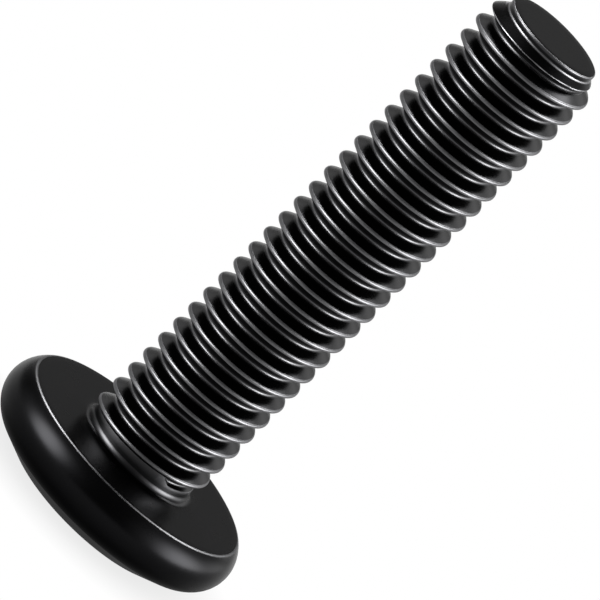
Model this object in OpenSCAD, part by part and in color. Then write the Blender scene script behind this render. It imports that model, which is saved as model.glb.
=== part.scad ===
// Flat-head connector screw with a hexagon socket, turned and thread-rolled from one blank.
// Millimetres. The screw stands on the flat of its head, with its axis along +Z.

/* [Thread] */
// Diameter over the thread crests
thread_d = 7.87; // [7:0.01:9]
// Rise of one turn of the thread
pitch = 1.25; // [1:0.05:1.5]
// Height of the first full crest above the bearing face
first_crest = 1.01; // [0.9:0.01:2]
// Turn over which the crest grows out of the neck, in degrees
crest_run_in = 100; // [60:10:120]
// Share of its full depth with which the groove starts
groove_blunt = 0.65; // [0.2:0.05:0.8]
// Turn over which the groove reaches its full depth, in degrees
groove_run_in = 100; // [60:10:160]
// Flats round one turn of the thread
thread_flats = 36; // [24:2:40]

/* [Length] */
// Length under the head, from the bearing face to the end face
length = 34.5; // [20:0.5:40]

/* [Head] */
// Largest diameter of the head
head_d = 16.85; // [15:0.05:20]
// Height from the flat of the head to the bearing face
head_h = 4; // [3.6:0.05:5]
// Diameter of the flat on the head
flat_d = 11.55; // [9.5:0.05:13]
// Slope of the cone round the flat, in degrees
cone_angle = 27; // [20:1:32]
// Radius of the bulge round the rim
rim_r = 1.9; // [1.7:0.05:3]
// Diameter of the edge where the rim meets the bearing face
bearing_d = 15.35; // [13.5:0.05:16.5]

/* [Socket] */
// Width of the hexagon across its flats
hex_af = 7; // [5:0.1:7.5]
// Depth of the hexagon's walls
hex_depth = 2.4; // [1.5:0.1:2.8]
// Angle of the drill point that leaves the conical floor, in degrees
drill_angle = 118; // [110:1:140]
// Land between the hexagon's flats and the conical floor
drill_land = 0.15; // [0.05:0.05:0.5]

/* [Neck] */
// Diameter of the plain neck under the head
neck_d = 7.2; // [7:0.05:7.6]
// Radius of the fillet between the neck and the bearing face
neck_fillet = 0.5; // [0.2:0.05:0.9]
// Angle at which that fillet meets the neck, in degrees
crease_angle = 12; // [0:1:30]
// Height of the turned part of the neck, fillet included
neck_h = 0.6; // [0.6:0.05:0.8]

/* [Point] */
// Diameter of the flat end face
point_d = 6.25; // [5.5:0.05:6.3]
// Height of the plain collar behind the end face
point_collar = 0.4; // [0.1:0.05:1]
// Slope of the chamfer across the last crests, from the axis, in degrees
point_angle = 45; // [30:5:60]

/* [Hidden] */
$fn = 96;
overrun = 1;

// Where the main levels of the screw lie
bearing_z = head_h;
end_z = bearing_z + length;

// The rim's bulge is an arc that touches the largest diameter and ends at the bearing edge
rim_centre_r = head_d / 2 - rim_r;
rim_centre_z = bearing_z - sqrt(pow(rim_r, 2) - pow(bearing_d / 2 - rim_centre_r, 2));

// Metric thread form: flanks at 30 degrees, crest flat of an eighth of the pitch, depth 17/24 of the sharp V
flank_angle = 30;
sharp_depth = pitch / 2 / tan(flank_angle);
crest_r = thread_d / 2;
root_r = crest_r - sharp_depth * 17 / 24;
crest_half = pitch / 16;
// The thread's own plain stretch stays a little inside the turned neck that it leaves
neck_step = 0.02;
plain_r = neck_d / 2 - neck_step;
// Narrowest strip left where a crest or groove has died out
least_strip = 0.02;

// The helix is counted in degrees of turn from the first full crest, which is on the -X side
helix_zero = 180;
groove_start = -60;
sheet_start = groove_start - 200;
sheet_turn = 360 / thread_flats;
sheet_columns = ceil((length + pitch - first_crest) / pitch * thread_flats
                     - sheet_start / sheet_turn);
sheet_bottom = bearing_z + first_crest + pitch * sheet_start / 360 - pitch;
sheet_top = end_z + 3 * pitch;

// 0 before the ramp and 1 after it
function ramp(x, from, to) = max(0, min(1, (x - from) / (to - from)));

// Half the width of the thread's ridge at radius r, on its 30 degree flanks
function ridge_half(r) = crest_half + (crest_r - r) * tan(flank_angle);

// Share of its depth that the groove has at helix angle g: a blunt start in one flat, then the rest
function opened(g) =
    groove_blunt * ramp(g, groove_start, groove_start + sheet_turn)
    + (1 - groove_blunt) * ramp(g, groove_start + sheet_turn, groove_start + groove_run_in);

// Radius of the ridge's top at helix angle a, and of the groove's floor at helix angle g
function top_r(a) = plain_r + (crest_r - plain_r) * ramp(a, -crest_run_in, 0);
function floor_r(g) = plain_r - (plain_r - root_r) * opened(g);

// A point at helix angle a, radius r and height dz from the ridge's middle
function helix_point(a, r, dz) = [
    r * cos(helix_zero + a),
    r * sin(helix_zero + a),
    bearing_z + first_crest + pitch * a / 360 + dz
];

// The ridge's section at helix angle a, as four points: groove below, top, top, groove above
function ridge_section(a) =
    let (
        top = top_r(a),
        below = floor_r(a - 180),
        above = floor_r(a + 180),
        top_half = ridge_half(top),
        below_half = max(ridge_half(below), top_half + least_strip),
        above_half = max(ridge_half(above), top_half + least_strip)
    )
    [
        helix_point(a, below, -below_half),
        helix_point(a, top, -top_half),
        helix_point(a, top, top_half),
        helix_point(a, above, above_half)
    ];

// A level ring of points that closes the threaded body below or above
function level_ring(a, r, z) = [
    for (i = [0 : thread_flats - 1])
        [r * cos(helix_zero + a + i * sheet_turn), r * sin(helix_zero + a + i * sheet_turn), z]
];

// Two triangles between neighbouring columns, from points p and q up to their upper neighbours
function quad(p, q, q_up, p_up) = [[p, q_up, q], [p, p_up, q_up]];

// The threaded body: a closed skin whose strips run along the helix, with a plain skirt at each end
module threaded_body() {
    n = thread_flats;
    last = sheet_columns;
    last_angle = sheet_start + last * sheet_turn;
    sheet = [for (i = [0 : last]) each ridge_section(sheet_start + i * sheet_turn)];
    low = len(sheet);
    high = low + n;
    bottom_centre = high + n;
    top_centre = bottom_centre + 1;
    points = concat(
        sheet,
        level_ring(sheet_start, plain_r, sheet_bottom),
        level_ring(last_angle, root_r, sheet_top),
        [[0, 0, sheet_bottom], [0, 0, sheet_top]]
    );
    strips = [
        for (i = [0 : last - 1])
            for (j = [0 : 2])
                each quad(4 * i + j, 4 * (i + 1) + j, 4 * (i + 1) + j + 1, 4 * i + j + 1)
    ];
    groove_strips = [
        for (i = [0 : last - n - 1])
            each quad(4 * i + 3, 4 * (i + 1) + 3, 4 * (i + 1 + n), 4 * (i + n))
    ];
    // The lowest turn's underside down to the bottom ring, with the sheet's first edge taken up at its end
    skirt_low = [
        for (i = [0 : n - 2])
            each quad(low + i, low + i + 1, 4 * (i + 1), 4 * i)
    ];
    seam_low = [
        [low + n - 1, 0, low],
        for (j = [0 : 2]) [4 * (n - 1), j + 1, j],
        [low + n - 1, 4 * (n - 1), 0],
        [4 * (n - 1), 4 * n, 3]
    ];
    // The highest turn's upper side up to the top ring, with the sheet's last edge taken up at its start
    first = last - n;
    skirt_high = [
        for (i = [1 : n - 1])
            each quad(4 * (first + i) + 3, 4 * (first + i + 1) + 3, high + (i + 1) % n, high + i)
    ];
    seam_high = [
        [4 * first + 3, 4 * last, 4 * (first + 1) + 3],
        for (j = [0 : 2]) [4 * last + j, 4 * last + j + 1, 4 * (first + 1) + 3],
        [4 * last + 3, high + 1, 4 * (first + 1) + 3],
        [4 * last + 3, high, high + 1]
    ];
    discs = [
        for (i = [0 : n - 1])
            each [
                [bottom_centre, low + i, low + (i + 1) % n],
                [top_centre, high + (i + 1) % n, high + i]
            ]
    ];
    polyhedron(points, concat(strips, groove_strips, skirt_low, seam_low, skirt_high, seam_high, discs));
}

// What the turned point takes off the threaded body: all beyond the end face, and the last crests
module point_cut() {
    point_r = point_d / 2;
    outer_r = crest_r + overrun;
    collar_z = end_z - point_collar;
    rotate_extrude()
        polygon([
            [0, end_z],
            [point_r, end_z],
            [point_r, collar_z],
            [outer_r, collar_z - (outer_r - point_r) / tan(point_angle)],
            [outer_r, sheet_top + overrun],
            [0, sheet_top + overrun]
        ]);
}

// Half section of the head: flat, cone, bulged rim and bearing face
module head_section() {
    intersection() {
        polygon([
            [0, 0],
            [flat_d / 2, 0],
            [head_d / 2, (head_d - flat_d) / 2 * tan(cone_angle)],
            [head_d / 2, bearing_z],
            [0, bearing_z]
        ]);
        union() {
            square([rim_centre_r, bearing_z]);
            translate([rim_centre_r, rim_centre_z])
                circle(rim_r);
        }
    }
}

// Half section of the neck, with its fillet, which meets the neck at a slight angle
module neck_section() {
    neck_r = neck_d / 2;
    foot_r = neck_r + neck_fillet * cos(crease_angle);
    crease_h = neck_fillet * (1 - sin(crease_angle));
    translate([0, bearing_z])
        square([neck_r, neck_h]);
    difference() {
        translate([0, bearing_z])
            square([foot_r, crease_h]);
        translate([foot_r, bearing_z + neck_fillet])
            circle(neck_fillet);
    }
}

// The hexagon that the key enters, and the conical floor that the drill left under it
module socket_cut() {
    drill_r = hex_af / 2 - drill_land;
    translate([0, 0, -overrun])
        rotate(30)
            cylinder(h = hex_depth + overrun, r = hex_af / 2 / cos(30), $fn = 6);
    rotate_extrude()
        polygon([
            [0, hex_depth / 2],
            [drill_r, hex_depth / 2],
            [drill_r, hex_depth],
            [0, hex_depth + drill_r / tan(drill_angle / 2)]
        ]);
}

module screw() {
    color("#1c1c1e")
        difference() {
            union() {
                rotate_extrude() {
                    head_section();
                    neck_section();
                }
                difference() {
                    threaded_body();
                    point_cut();
                }
            }
            socket_cut();
        }
}

screw();
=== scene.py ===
import math

import bmesh
import bpy
from mathutils import Matrix, Vector


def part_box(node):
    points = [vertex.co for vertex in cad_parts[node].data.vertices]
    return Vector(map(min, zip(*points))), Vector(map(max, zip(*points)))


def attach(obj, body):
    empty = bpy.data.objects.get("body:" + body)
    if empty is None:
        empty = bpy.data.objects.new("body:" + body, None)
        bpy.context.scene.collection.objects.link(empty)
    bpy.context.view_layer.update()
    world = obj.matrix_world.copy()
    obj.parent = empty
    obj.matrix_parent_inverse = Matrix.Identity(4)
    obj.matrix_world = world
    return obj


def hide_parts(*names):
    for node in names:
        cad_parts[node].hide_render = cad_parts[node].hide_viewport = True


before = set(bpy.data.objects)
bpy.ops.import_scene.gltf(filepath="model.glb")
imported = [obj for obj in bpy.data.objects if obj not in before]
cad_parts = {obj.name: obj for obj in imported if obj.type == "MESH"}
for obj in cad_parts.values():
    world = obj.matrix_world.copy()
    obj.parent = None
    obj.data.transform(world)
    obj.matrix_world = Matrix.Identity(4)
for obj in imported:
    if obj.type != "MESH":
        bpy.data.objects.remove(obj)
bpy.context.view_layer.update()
print("frame loaded")

# Meshes are built in millimetres and brought to metres at the end
metre = 0.001
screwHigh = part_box("screw")[1] / metre

columns = 96  # columns of faces round the screw
fineCuts = 2  # cuts across each face of the thread near the point
fineColumns = columns * (fineCuts + 1)
merge = 1e-4  # points nearer than this are one point
tiny = 1e-6  # what is smaller than this is nothing
plainFace = 1.0  # a turned profile's edge longer than this is a flat or a cone, and gets more rings

# Faces across each round of the profiles, and cuts across their plain faces
facets = {
    "root": 6,
    "crest": 3,
    "fillet": 12,
    "rim": 26,
    "coneEdge": 3,
    "smallRound": 4,
    "headCuts": 7,
    "endFaceCuts": 5,
}


def wire(bm, points):
    # A line of edges in the XZ plane through (radius, height) points
    verts = [bm.verts.new((radius, 0, height)) for radius, height in points]
    for low, high in zip(verts, verts[1:]):
        bm.edges.new((low, high))
    return verts


def roundCorner(bm, vert, reach, segments):
    # A wire's corner becomes an arc that starts this far along both of its edges
    bmesh.ops.bevel(bm, geom=[vert], offset=reach, offset_type="OFFSET", affect="VERTICES",
                    segments=segments, profile=0.5, material=-1, clamp_overlap=True)


def edgesOver(bm, length):
    return [edge for edge in bm.edges if edge.calc_length() > length]


def splitEdges(bm, edges, cuts):
    bmesh.ops.subdivide_edges(bm, edges=edges, cuts=cuts)


def radiusOf(co):
    return math.hypot(co.x, co.y)


def setRadius(vert, radius):
    scale = radius / radiusOf(vert.co)
    vert.co.x *= scale
    vert.co.y *= scale


def share(value, start, end):
    return min(1.0, max(0.0, (value - start) / (end - start)))


def ramp(value, start, end):
    along = share(value, start, end)
    return along * along * (3 - 2 * along)


def trimLevel(bm, height, keepAbove, count, radius):
    # Cuts the skin at a height, and leaves a true circle with one point for each column there
    cut = bmesh.ops.bisect_plane(bm, geom=bm.verts[:] + bm.edges[:] + bm.faces[:], dist=tiny,
                                 plane_co=(0, 0, height), plane_no=(0, 0, 1),
                                 clear_inner=keepAbove, clear_outer=not keepAbove)
    ring = [item for item in cut["geom_cut"] if isinstance(item, bmesh.types.BMVert)]
    places = [math.degrees(math.atan2(vert.co.y, vert.co.x)) * count / 360 for vert in ring]
    onColumn, between = {}, []
    for place, vert in sorted(zip(places, ring), key=lambda item: abs(item[0] - round(item[0]))):
        column = round(place) % count
        if column in onColumn:
            between.append((vert, column))
        else:
            onColumn[column] = vert
    bmesh.ops.weld_verts(bm, targetmap={vert: onColumn[column] for vert, column in between})
    for vert in onColumn.values():
        setRadius(vert, radius)


head = {
    "height": 4.0,
    "rimRadius": 1.9,
    "bearingRadius": 7.675,
    "coneAngle": 27,
    "flatRadius": 5.775,
    "bearingEdge": 0.09,  # reach of the small rounds at its three edges
    "coneEdge": 0.03,
    "flatEdge": 0.2,
}

thread = {
    "diameter": 7.87,
    "pitch": 1.25,
    "flankAngle": 30,
    "firstCrest": 1.01,  # height of the first full crest above the bearing face, on the -X side
    "crestRounds": (0.05, 0.125),  # radii of its lower and upper edge
    "rootRound": 0.18,
    "plainFlank": 0.15,  # a profile edge longer than this is plain flank
    "guard": 0.05,  # width of the strip beside each round, over which its rubbed look fades
    "longRow": 0.3,  # flank longer than this has a row more
    "crestRunIn": (-100, 0),  # turn over which the crest grows out of the neck, in degrees
    "grooveStart": (-60, -46),  # the first groove has a blunt start, at this share of its depth
    "grooveBlunt": 0.65,
    "grooveRunIn": (-42, 40),  # turn over which it then reaches its depth
    "runInTurns": 3,
    "lipRound": 0.05,  # of the first groove's edge with the neck
    "fineLip": 0.8,  # the skin has finer rows up to this share of a pitch over the first full crest
    "lipRow": 0.1,  # rows wider than this get these cuts there
    "lipCuts": 3,
}

neck = {
    "radius": 3.6,
    "fillet": 0.5,
    "creaseAngle": 12,  # angle at which the fillet meets the neck
    "creaseLine": 0.03,  # over the crease the neck is dark again from this height
    "top": 0.6,  # height of the turned neck above the bearing face
}

bearingZ = head["height"]
endZ = screwHigh.z
headRadius = screwHigh.x
pitch = thread["pitch"]
crestRadius = thread["diameter"] / 2
flankTan = math.tan(math.radians(thread["flankAngle"]))
crestHalf = pitch / 16
rootTip = crestRadius + crestHalf / flankTan - pitch / 2 / flankTan  # of the sharp V
flankMid = (rootTip + crestRadius) / 2
creaseAngle = math.radians(neck["creaseAngle"])
creaseZ = bearingZ + neck["fillet"] * (1 - math.sin(creaseAngle))


def ridgeHalf(radius):
    return crestHalf + (crestRadius - radius) * flankTan


def threadSkin():
    bm = bmesh.new()
    # One pitch of the thread, from mid flank to mid flank, at its lowest turn
    crestZ = bearingZ + thread["firstCrest"] - 2 * pitch
    points = [
        (flankMid, crestZ - pitch + ridgeHalf(flankMid)),
        (rootTip, crestZ - pitch / 2),
        (flankMid, crestZ - ridgeHalf(flankMid)),
        (crestRadius, crestZ - crestHalf),
        (crestRadius, crestZ + crestHalf),
        (flankMid, crestZ + ridgeHalf(flankMid)),
    ]
    verts = wire(bm, points)
    root, lowEdge, highEdge = verts[1], verts[3], verts[4]
    # A corner that turns by an angle takes an arc whose reach is its radius times the half angle's tangent
    roundCorner(bm, root, thread["rootRound"] / flankTan, facets["root"])
    for corner, radius in zip((lowEdge, highEdge), thread["crestRounds"]):
        roundCorner(bm, corner, radius * flankTan, facets["crest"])
    for edge in edgesOver(bm, thread["plainFlank"]):
        end = max(edge.verts, key=lambda vert: abs(vert.co.x - flankMid))
        bmesh.utils.edge_split(edge, end, thread["guard"] / edge.calc_length())
    splitEdges(bm, edgesOver(bm, thread["longRow"]), 1)
    bmesh.ops.rotate(bm, verts=bm.verts[:], cent=(0, 0, 0), matrix=Matrix.Rotation(math.pi, 3, "Z"))
    bmesh.ops.spin(bm, geom=bm.verts[:] + bm.edges[:], cent=(0, 0, 0), axis=(0, 0, 1),
                   dvec=(0, 0, pitch / columns), angle=math.tau, steps=columns, use_merge=False)
    # The other turns are copies of the first, each a pitch higher
    oneTurn = bm.verts[:] + bm.edges[:] + bm.faces[:]
    for turn in range(1, math.ceil((endZ - crestZ) / pitch) + 1):
        copied = bmesh.ops.duplicate(bm, geom=oneTurn)["geom"]
        bmesh.ops.translate(bm, vec=(0, 0, pitch * turn),
                            verts=[item for item in copied if isinstance(item, bmesh.types.BMVert)])
    bmesh.ops.remove_doubles(bm, verts=bm.verts[:], dist=merge)
    return bm


def helixPlace(co):
    # Turn from the first full crest of the crest over a point, in degrees, and the depth under that crest
    turn = (math.degrees(math.atan2(co.y, co.x)) - 180) % 360
    level = (co.z - bearingZ - thread["firstCrest"]) / pitch * 360
    above = turn + 360 * math.ceil((level - turn) / 360 - tiny)
    return above, (above - level) / 360 * pitch


def runIn(vert):
    # The crest grows out of the neck, and the groove opens under the crest that it follows
    above, under = helixPlace(vert.co)
    deep = neck["radius"] - radiusOf(vert.co)
    foot = ridgeHalf(neck["radius"])
    grown = ramp(above if under <= pitch / 2 else above - 360, *thread["crestRunIn"])
    blunt = thread["grooveBlunt"]
    opened = (blunt * ramp(above - 180, *thread["grooveStart"])
              + (1 - blunt) * share(above - 180, *thread["grooveRunIn"]))
    lip = (math.hypot(deep, thread["lipRound"]) - abs(deep)) / 2 * opened * (1 - grown)
    if deep < 0:
        setRadius(vert, neck["radius"] - deep * grown - lip)
    else:
        setRadius(vert, neck["radius"] - deep * opened - lip)
        vert.co.z += (under - foot) * (1 - opened)


point = {
    "radius": 3.125,
    "collar": 0.4,
    "slope": 45,  # of the chamfer across the last crests, from the axis
    "edge": 0.1,  # reach of the round at the end face
    "corner": 0.05,  # reach of the hollow round below the collar
    "blend": 0.09,  # how softly the chamfer meets the thread
    "blendFrom": 0.15,  # it does so in full from this far under the collar
    "rubWidth": 0.09,  # reach of the rubbed line along the chamfer's edges
    "cornerWidth": 0.07,  # and of the painted highlight in the collar's corner
    "fineBelow": 1.4,  # the skin is finer from this far under the end face
}

collarMid = endZ - point["collar"] / 2


def chamferRadius(height):
    # The turned point's own radius at a height: collar, small corner, then the cone
    under = endZ - point["collar"] - height
    slope = math.tan(math.radians(point["slope"]))
    corner = point["corner"]
    grow = under if under > corner else max(0.0, under + corner) ** 2 / (4 * corner)
    return point["radius"] + grow * slope


def softMin(first, second, blend):
    return (first + second - math.sqrt((first - second) ** 2 + blend * blend)) / 2


def acrossRows(edge):
    # Whether an edge of the skin runs along a column, from row to row
    first, second = [vert.co for vert in edge.verts]
    return abs(first.x * second.y - second.x * first.y) < merge


def buildScrew():
    bm = threadSkin()
    lipTop = bearingZ + thread["firstCrest"] + pitch * thread["fineLip"]
    rows = [edge for edge in edgesOver(bm, thread["lipRow"])
            if acrossRows(edge) and all(bearingZ - pitch / 2 < vert.co.z < lipTop for vert in edge.verts)]
    splitEdges(bm, rows, thread["lipCuts"])
    runInTop = bearingZ + thread["firstCrest"] + pitch * thread["runInTurns"]
    for vert in bm.verts:
        if vert.co.z < runInTop:
            runIn(vert)
    fineZ = endZ - point["fineBelow"]
    fine = [edge for edge in bm.edges
            if all(fineZ < vert.co.z < endZ + pitch for vert in edge.verts)]
    bmesh.ops.subdivide_edges(bm, edges=fine, cuts=fineCuts, use_grid_fill=True)
    # lighter metal at the point: rubbed cut crests, and a painted highlight in the collar's corner
    rubbedAndHighlit = bm.verts.layers.float.new("rubbedAndHighlit")
    for vert in bm.verts:
        if vert.co.z > fineZ:
            under = endZ - point["collar"] - vert.co.z
            proud = radiusOf(vert.co) - chamferRadius(vert.co.z)
            vert[rubbedAndHighlit] = pointRubAndHighlight(proud, under)
            blend = point["blend"] * share(under, 0, point["blendFrom"])
            setRadius(vert, softMin(radiusOf(vert.co), chamferRadius(vert.co.z), blend))
    trimLevel(bm, bearingZ + neck["top"], True, columns, neck["radius"])
    trimLevel(bm, collarMid, False, fineColumns, point["radius"])
    print("thread", len(bm.verts))

    addPoint(bm)
    addHead(bm)
    bmesh.ops.remove_doubles(bm, verts=bm.verts[:], dist=merge)
    bmesh.ops.recalc_face_normals(bm, faces=bm.faces[:])
    return bm


def pointRubAndHighlight(proud, under):
    # How light the turned point's metal is, plus 1: rubbed along the edge of the cut crests, and a painted
    # highlight in the collar's corner.
    # Proud is how far the thread stood over the chamfer there, and under the depth below the corner.
    # 0 leaves it to the surface's bend.
    width = point["rubWidth"]
    if proud < -width:
        return 0.0
    edge = (1 - share(abs(proud), width / 2, width)) * share(under, width, 2 * width)
    # painted highlight in the collar's hollow corner
    corner = 1 - share(abs(under), 0, point["cornerWidth"])
    return 1 + max(edge * wearAndHighlight["cut"], corner * wearAndHighlight["corner"])


def addPoint(bm):
    # Collar, rounded edge and end face
    part = bmesh.new()
    verts = wire(part, [(point["radius"], collarMid), (point["radius"], endZ), (0, endZ)])
    roundCorner(part, verts[1], point["edge"], facets["smallRound"])
    splitEdges(part, edgesOver(part, plainFace), facets["endFaceCuts"])
    turnRound(part, fineColumns)
    joinTo(bm, part)


def turnRound(part, steps):
    bmesh.ops.spin(part, geom=part.verts[:] + part.edges[:], cent=(0, 0, 0), axis=(0, 0, 1),
                   angle=math.tau, steps=steps, use_merge=True)
    bmesh.ops.remove_doubles(part, verts=part.verts[:], dist=merge)


def joinTo(bm, part):
    mesh = bpy.data.meshes.new("turned")
    part.to_mesh(mesh)
    part.free()
    bm.from_mesh(mesh)
    bpy.data.meshes.remove(mesh)


def addHead(bm):
    part = bmesh.new()
    rimX = headRadius - head["rimRadius"]
    rimZ = bearingZ - math.sqrt(head["rimRadius"] ** 2 - (head["bearingRadius"] - rimX) ** 2)
    coneTan = math.tan(math.radians(head["coneAngle"]))
    # Where the cone's line meets the rim's arc
    drop = rimZ + (head["flatRadius"] - rimX) * coneTan
    swing = math.sqrt((1 + coneTan ** 2) * head["rimRadius"] ** 2 - drop ** 2)
    meetX = rimX + (drop * coneTan + swing) / (1 + coneTan ** 2)
    coneTop = (meetX, (meetX - head["flatRadius"]) * coneTan)

    footX = neck["radius"] + neck["fillet"] * math.cos(creaseAngle)
    crease = wire(part, [(neck["radius"], bearingZ + neck["top"]),
                         (neck["radius"], creaseZ + neck["creaseLine"]),
                         (neck["radius"], creaseZ)])[-1]
    bmesh.ops.spin(part, geom=[crease], cent=(footX, 0, bearingZ + neck["fillet"]), axis=(0, 1, 0),
                   angle=creaseAngle - math.pi / 2, steps=facets["fillet"], use_merge=False)
    upper = wire(part, [(footX, bearingZ), (head["bearingRadius"], bearingZ)])
    wire(part, [coneTop, (head["flatRadius"], 0), (socket["mouthRadius"], 0)])
    start = math.atan2(bearingZ - rimZ, head["bearingRadius"] - rimX)
    stop = math.atan2(coneTop[1] - rimZ, coneTop[0] - rimX)
    bmesh.ops.spin(part, geom=[upper[1]], cent=(rimX, 0, rimZ), axis=(0, 1, 0), angle=start - stop,
                   steps=facets["rim"], use_merge=False)
    bmesh.ops.remove_doubles(part, verts=part.verts[:], dist=merge)
    part.verts.ensure_lookup_table()

    def at(radius, height):
        return min(part.verts, key=lambda vert: (vert.co - Vector((radius, 0, height))).length)

    roundCorner(part, at(head["bearingRadius"], bearingZ), head["bearingEdge"], facets["smallRound"])
    roundCorner(part, at(*coneTop), head["coneEdge"], facets["coneEdge"])
    roundCorner(part, at(head["flatRadius"], 0), head["flatEdge"], facets["smallRound"])
    splitEdges(part, edgesOver(part, plainFace), facets["headCuts"])
    turnRound(part, columns)
    addSocket(part)
    joinTo(bm, part)


socket = {
    "acrossFlats": 7.0,
    "depth": 2.4,
    "drillAngle": 118,
    "land": 0.15,
    "mouthRadius": 4.5,
    "mouthEdge": 0.07,
    # Shares of the conical floor's radius, of which the last closes to its tip
    "floorRings": (1, 0.97, 0.8, 0.6, 0.4, 0.2, 0.08, 0.04),
}


def hexRadius(angle, acrossFlats):
    # Distance from the axis to a hexagon whose flats face +X and -X
    turn = (angle + math.pi / 6) % (math.pi / 3) - math.pi / 6
    return acrossFlats / 2 / math.cos(turn)


def addSocket(part):
    loop = [edge for edge in part.edges
            if edge.is_boundary and all(abs(vert.co.z) < merge for vert in edge.verts)]

    def nextRing(loop, shape):
        made = bmesh.ops.extrude_edge_only(part, edges=loop)["geom"]
        for vert in [item for item in made if isinstance(item, bmesh.types.BMVert)]:
            radius, height = shape(math.atan2(vert.co.y, vert.co.x))
            setRadius(vert, radius)
            vert.co.z = height
        return [item for item in made if isinstance(item, bmesh.types.BMEdge)]

    flats, mouth = socket["acrossFlats"], socket["mouthEdge"]
    drill = flats / 2 - socket["land"]
    drillTan = math.tan(math.radians(socket["drillAngle"] / 2))
    loop = nextRing(loop, lambda angle: (hexRadius(angle, flats + 4 * mouth), 0))
    steps = facets["smallRound"]
    for step in range(steps + 1):
        turn = math.pi / 2 * step / steps
        wide, deep = mouth * (1 - math.sin(turn)), mouth * (1 - math.cos(turn))
        loop = nextRing(loop, lambda angle: (hexRadius(angle, flats + 2 * wide), deep))
    for height in (2 * mouth, socket["depth"] / 2, socket["depth"] - mouth, socket["depth"]):
        loop = nextRing(loop, lambda angle: (hexRadius(angle, flats), height))
    for inward in socket["floorRings"]:
        height = socket["depth"] + drill * (1 - inward) / drillTan
        loop = nextRing(loop, lambda angle: (drill * inward, height))
    tip = {vert for edge in loop for vert in edge.verts}
    bmesh.ops.pointmerge(part, verts=list(tip),
                         merge_co=(0, 0, socket["depth"] + drill / drillTan))


# Lighter metal: wear on convex edges and on the point's cut crests, and painted highlight in hollows, on
# the fillet, over the neck and in the collar's corner
wearAndHighlight = {
    "from": 1.2,  # bends per millimetre at which an edge starts to get lighter metal: wear on a convex edge, a painted highlight in a hollow
    "full": 5.0,
    "rolled": 0.32,  # how bare a rolled edge is then, where 1 is the cut edge at the point
    "hollowHighlight": 0.7,  # share of it that a hollow corner gets, as a painted highlight
    # painted highlight: lighter metal over the neck
    "neck": 0.065,
    "neckReach": 0.01,  # how near to the neck's radius a point counts as on it
    "fillet": 0.1,  # painted highlight just below the crease between neck and fillet, fading between these depths
    "filletHighlightFade": (0.1, 0.3),
    "cut": 1.0,  # how bare the point's cut crests are, and how light the corner under its collar is, a painted highlight there
    "corner": 0.6,
    "dullFacing": (0.3, 0.8),  # the thread's undersides are dull, where the normal points down this far
}


def markWearAndHighlight(bm):
    # Each point holds how sharply the surface bends there, for the material's rubbed edges and the painted
    # highlights in its hollows
    layer = bm.verts.layers.float.new("wearAndHighlightMask")
    dull = bm.verts.layers.float.new("dull")
    bm.normal_update()
    for edge in bm.edges:
        if len(edge.link_faces) != 2:
            continue
        first, second = edge.link_faces
        angle = edge.calc_face_angle_signed(0.0)
        along = (edge.verts[1].co - edge.verts[0].co).normalized()
        gap = second.calc_center_median() - first.calc_center_median()
        gap -= along * gap.dot(along)
        if gap.length < tiny:
            continue
        bend = abs(angle) / gap.length
        value = wearAndHighlight["rolled"] * ramp(bend, wearAndHighlight["from"], wearAndHighlight["full"])
        # a hollow edge gets a painted highlight, not wear
        if angle < 0:
            value *= wearAndHighlight["hollowHighlight"]
        for vert in edge.verts:
            vert[layer] = max(vert[layer], value)
    rubbedAndHighlit = bm.verts.layers.float["rubbedAndHighlit"]
    plainTop = bearingZ + thread["firstCrest"] + pitch / 4
    for vert in bm.verts:
        radius = radiusOf(vert.co)
        if abs(vert.co.z - collarMid) < merge:
            vert[layer] = 0
        # the point: rubbed cut crests, and a painted highlight in the collar's corner
        elif vert[rubbedAndHighlit] > 0:
            vert[layer] = max(0.0, vert[rubbedAndHighlit] - 1)
        # painted highlight band on the fillet just below the crease
        elif bearingZ + merge < vert.co.z < creaseZ + merge and radius < head["flatRadius"]:
            vert[layer] = wearAndHighlight["fillet"] * (1 - share(creaseZ - vert.co.z, *wearAndHighlight["filletHighlightFade"]))
        # painted highlight over the neck
        elif creaseZ < vert.co.z < plainTop and abs(radius - neck["radius"]) < wearAndHighlight["neckReach"]:
            vert[layer] = max(vert[layer], wearAndHighlight["neck"])
        if vert.co.z > bearingZ + neck["top"]:
            vert[dull] = ramp(-vert.normal.z, *wearAndHighlight["dullFacing"])
    bm.verts.layers.float.remove(rubbedAndHighlit)


sharpFrom = math.radians(35)  # two faces that meet at more than this keep a hard line

bm = buildScrew()
markWearAndHighlight(bm)
for edge in bm.edges:
    edge.smooth = edge.calc_face_angle(0.0) < sharpFrom
for face in bm.faces:
    face.smooth = True
openEdges = sum(1 for edge in bm.edges if not edge.is_manifold)
print("screw", len(bm.verts), "points", len(bm.faces), "faces", openEdges, "open edges")
bmesh.ops.scale(bm, vec=(metre, metre, metre), verts=bm.verts[:])
screwMesh = bpy.data.meshes.new("connectorScrew")
bm.to_mesh(screwMesh)
bm.free()
connectorScrew = bpy.data.objects.new("connectorScrew", screwMesh)
bpy.context.scene.collection.objects.link(connectorScrew)


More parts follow.
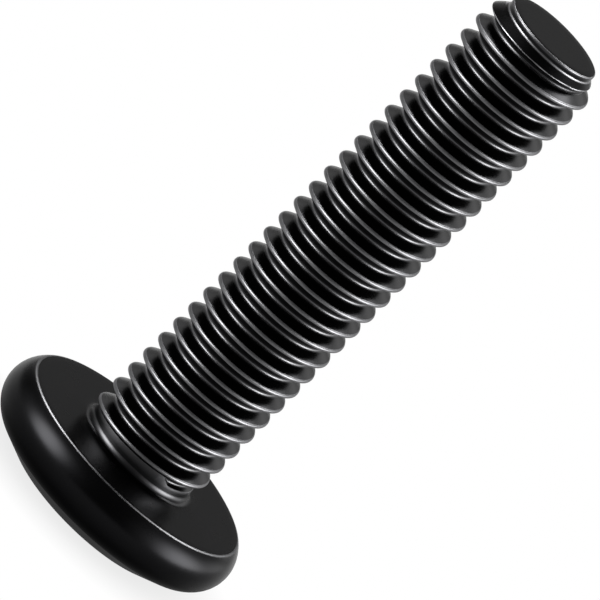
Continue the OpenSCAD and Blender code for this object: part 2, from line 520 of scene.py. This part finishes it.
class Signal:  # a node's output, on which shader maths is written as an expression
    def __init__(self, shader, socket):
        self.shader, self.socket = shader, socket

    def maths(self, operation, *values):
        return self.shader.maths(operation, *values)

    def __add__(self, other):
        return self.maths("ADD", self, other)

    def __radd__(self, other):
        return self.maths("ADD", other, self)

    def __sub__(self, other):
        return self.maths("SUBTRACT", self, other)

    def __rsub__(self, other):
        return self.maths("SUBTRACT", other, self)

    def __mul__(self, other):
        return self.maths("MULTIPLY", self, other)

    def __rmul__(self, other):
        return self.maths("MULTIPLY", other, self)

    def upTo(self, limit):
        return self.maths("MINIMUM", self, limit)

    def fade(self, near, far):
        # 1 up to one value and 0 from the other
        return self.shader.node("ShaderNodeMapRange", {"interpolation_type": "SMOOTHSTEP"},
                                {"Value": self, "From Min": near, "From Max": far, "To Min": 1.0,
                                 "To Max": 0.0})

    def output(self, name):
        return Signal(self.shader, self.socket.node.outputs[name])


class Shader:
    def __init__(self, tree):
        self.tree = tree
        tree.nodes.clear()

    def node(self, kind, settings=None, inputs=None, output=0):
        made = self.tree.nodes.new(kind)
        for name, value in (settings or {}).items():
            setattr(made, name, value)
        for name, value in (inputs or {}).items():
            if isinstance(value, Signal):
                self.tree.links.new(value.socket, made.inputs[name])
            else:
                made.inputs[name].default_value = value
        return Signal(self, made.outputs[output]) if made.outputs else None

    def maths(self, operation, *values):
        return self.node("ShaderNodeMath", {"operation": operation}, dict(enumerate(values)))

    def mix(self, amount, first, second):
        # Of two colours
        return self.node("ShaderNodeMix", {"data_type": "RGBA"},
                         {0: amount, 6: first, 7: second}, output=2)


def newMaterial(name):
    material = bpy.data.materials.new(name)
    material.use_nodes = True
    return material, Shader(material.node_tree)


blackOxide = {
    "face": (0.008, 0.008, 0.0085, 1),
    # lighter metal of rubbed edges, also the painted highlight in hollows, on the fillet, over the neck and
    # in the collar's corner
    "rubbedAndHighlit": (0.33, 0.33, 0.342, 1),
    "grazing": (0.7, 0.7, 0.7, 1),  # how much of the full gloss is left at a grazing angle
    "roughness": 0.27,
    "mottle": 0.02,  # how far the roughness wanders, and how fine its pattern is
    "mottleScale": 900.0,
    "rubbedAndHighlitRoughness": 0.38,
    "rubbedAndHighlitFrom": 0.32,  # share of the lighter metal from which the surface is that rough
    "dullRoughness": 0.75,  # of the thread's undersides
}


def blackOxideMaterial():
    material, shader = newMaterial("blackOxide")
    place = shader.node("ShaderNodeTexCoord", output="Object")
    rubbedAndHighlit, dull = [shader.node("ShaderNodeAttribute", {"attribute_name": name}, output="Fac")
                    for name in ("wearAndHighlightMask", "dull")]
    mottle = shader.node("ShaderNodeTexNoise", None,
                         {"Vector": place, "Scale": blackOxide["mottleScale"], "Detail": 3.0,
                          "Roughness": 0.55}, output="Fac")
    # lighter metal where rubbed, and as painted highlight in hollows and bands
    colour = shader.mix(rubbedAndHighlit, blackOxide["face"], blackOxide["rubbedAndHighlit"])
    base = blackOxide["roughness"] + (mottle - 0.5) * blackOxide["mottle"]
    rubbedAndHighlitShare = (rubbedAndHighlit * (1 / blackOxide["rubbedAndHighlitFrom"])).upTo(1.0)
    rough = (base + rubbedAndHighlitShare * (blackOxide["rubbedAndHighlitRoughness"] - blackOxide["roughness"])
             + dull * (1 - rubbedAndHighlitShare) * (blackOxide["dullRoughness"] - blackOxide["roughness"]))
    surface = shader.node("ShaderNodeBsdfPrincipled", None,
                          {"Base Color": colour, "Roughness": rough, "Metallic": 1.0,
                           "Specular Tint": blackOxide["grazing"]})
    shader.node("ShaderNodeOutputMaterial", None, {"Surface": surface})
    return material


connectorScrew.data.materials.append(blackOxideMaterial())
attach(connectorScrew, "root")
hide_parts("screw")
print("finish on")


# The floor and the wall round it, in metres
sweep = {
    "radius": 2.2,
    "wall": 0.1,
    "sides": 128,
    "hole": 0.0056,  # under the head, so that light reaches its underside
    "drop": 0.00002,  # the floor lies this far under the screw, so that the two faces don't touch
    "white": 1.0,
    "bounce": (0.8, 0.8, 0.8, 1),
    "shadowSamples": 8,
    "contact": 0.003,  # reach of the shadow round the head's foot, and its depth
    "contactDepth": 0.2,
    "shade": 0.05,  # reach of the object's shade on the floor that its own metal shows, and its depth
    "shadeDepth": 2.2,
    "shadeMost": 0.8,
}


def floorMaterial():
    material, shader = newMaterial("paleFloor")
    camera, glossy, through = [shader.node("ShaderNodeLightPath", output=name)
                               for name in ("Is Camera Ray", "Is Glossy Ray", "Is Transmission Ray")]
    seen = (camera + glossy + through).upTo(1.0)
    samples = {"samples": sweep["shadowSamples"]}
    near, wide = [1 - shader.node("ShaderNodeAmbientOcclusion", samples, {"Distance": reach}, output="AO")
                  for reach in (sweep["contact"], sweep["shade"])]
    shade = (wide * sweep["shadeDepth"]).upTo(sweep["shadeMost"])
    shadow = shade + (near * sweep["contactDepth"] - shade) * camera
    diffuse = shader.node("ShaderNodeBsdfDiffuse", None, {"Color": sweep["bounce"]})
    glow = shader.node("ShaderNodeEmission", None,
                       {"Color": (1, 1, 1, 1), "Strength": (1 - shadow) * sweep["white"]})
    surface = shader.node("ShaderNodeMixShader", None, {0: seen, 1: diffuse, 2: glow})
    hidden = shader.node("ShaderNodeBsdfTransparent")
    behind = shader.node("ShaderNodeNewGeometry", output="Backfacing")
    whole = shader.node("ShaderNodeMixShader", None, {0: behind, 1: surface, 2: hidden})
    shader.node("ShaderNodeOutputMaterial", None, {"Surface": whole})
    return material


def sweepMesh():
    # A floor with a low wall far away, which closes the view from low angles
    bm = bmesh.new()
    bmesh.ops.create_circle(bm, cap_ends=False, segments=sweep["sides"], radius=sweep["hole"])
    edges = bm.edges[:]
    for radius, height in ((sweep["radius"], 0), (sweep["radius"], sweep["wall"])):
        made = bmesh.ops.extrude_edge_only(bm, edges=edges)["geom"]
        edges = [item for item in made if isinstance(item, bmesh.types.BMEdge)]
        for vert in [item for item in made if isinstance(item, bmesh.types.BMVert)]:
            setRadius(vert, radius)
            vert.co.z = height
    bmesh.ops.translate(bm, verts=bm.verts[:], vec=(0, 0, -sweep["drop"]))
    bmesh.ops.reverse_faces(bm, faces=bm.faces[:])
    mesh = bpy.data.meshes.new("floor")
    bm.to_mesh(mesh)
    bm.free()
    return mesh


floor = bpy.data.objects.new("floor", sweepMesh())
bpy.context.scene.collection.objects.link(floor)
floor.data.materials.append(floorMaterial())
print("floor laid")


# Soft light in the studio round the screw. Azimuth is counted in degrees from the camera's side (-Y)
# towards +X, and elevation from the floor. Wide and tall are the light's size at half its glow, and
# soft is the share of it over which the glow fades.
studio = {
    "air": 0.12,
    "left": {"azimuth": -65, "elevation": 22, "wide": 37, "tall": 41, "soft": 0.6, "glow": 20},
    "right": {"azimuth": 89, "elevation": 14, "wide": 36, "tall": 40, "soft": 0.7, "glow": 18.5},
    "rightWash": {"azimuth": 87, "elevation": 15, "wide": 78, "tall": 74, "soft": 0.6, "glow": 1.5},
    "leftWash": {"azimuth": -70, "elevation": 18, "wide": 76, "tall": 78, "soft": 0.6, "glow": 1.1},
    "highLeft": {"azimuth": -145, "elevation": 51, "wide": 34, "tall": 18, "soft": 0.4, "glow": 34},
    "highRight": {"azimuth": 144, "elevation": 51, "wide": 34, "tall": 18, "soft": 0.4, "glow": 25},
    "backLeft": {"azimuth": -156, "elevation": 31, "wide": 16, "tall": 30, "soft": 0.7, "glow": 1.5},
    "backRight": {"azimuth": 155, "elevation": 30, "wide": 18, "tall": 34, "soft": 0.8, "glow": 2.4},
    "back": {"azimuth": 180, "elevation": 9, "wide": 80, "tall": 32, "soft": 0.5, "glow": 0.16},
    "backHigh": {"azimuth": -160, "elevation": 60, "wide": 46, "tall": 29, "soft": 0.6, "glow": 0.6},
    "farRight": {"azimuth": 124, "elevation": 5, "wide": 36, "tall": 30, "soft": 0.6, "glow": 2.7},
    "under": {"azimuth": -40, "elevation": -50, "wide": 90, "tall": 50, "soft": 0.9, "glow": 4.0},
}


def studioAir():
    world = bpy.data.worlds.new("studio")
    bpy.context.scene.world = world
    world.use_nodes = True
    air = Shader(world.node_tree)
    direction = air.node("ShaderNodeTexCoord", output="Generated")
    east = air.node("ShaderNodeSeparateXYZ", None, {0: direction})
    azimuth = air.maths("ARCTAN2", east, 0 - east.output("Y")) * math.degrees(1)
    elevation = air.maths("ARCSINE", east.output("Z")) * math.degrees(1)
    glow = None
    for name, box in studio.items():
        if name == "air":
            continue
        across = air.maths("WRAP", azimuth - box["azimuth"], 180, -180) * (2 / box["wide"])
        up = (elevation - box["elevation"]) * (2 / box["tall"])
        away = air.maths("SQRT", across * across + up * up)
        light = away.fade(1 - box["soft"], 1 + box["soft"]) * box["glow"]
        glow = light if glow is None else glow + light
    background = air.node("ShaderNodeBackground", None,
                          {"Color": (1, 1, 1, 1), "Strength": glow + studio["air"]})
    air.node("ShaderNodeOutputWorld", None, {"Surface": background})


def towards(azimuth, elevation):
    turn, lift = math.radians(azimuth), math.radians(elevation)
    return Vector((math.sin(turn) * math.cos(lift), -math.cos(turn) * math.cos(lift), math.sin(lift)))


studioAir()
print("studio lit")


view = {
    "elevation": 16.5,
    "roll": 44.94,
    "target": (0.286, 0, 17.197),
    "across": 33.68,  # millimetres across the picture at the target
    "lens": 1000,
    "sensor": 36,
}

cameraData = bpy.data.cameras.new("camera")
cameraData.lens = view["lens"]
cameraData.sensor_width = view["sensor"]
camera = bpy.data.objects.new("camera", cameraData)
away = towards(0, view["elevation"])
distance = view["across"] * metre * view["lens"] / view["sensor"]
camera.location = Vector(view["target"]) * metre + away * distance
level = Vector((1, 0, 0))
upright = away.cross(level)
turned = Matrix.Rotation(math.radians(view["roll"]), 3, away)
camera.rotation_euler = Matrix((turned @ level, turned @ upright, away)).transposed().to_euler()
cameraData.clip_start = distance / 10
cameraData.clip_end = distance * 10
bpy.context.scene.collection.objects.link(camera)
bpy.context.scene.camera = camera
bpy.context.scene.view_settings.view_transform = "Standard"
print("camera placed")
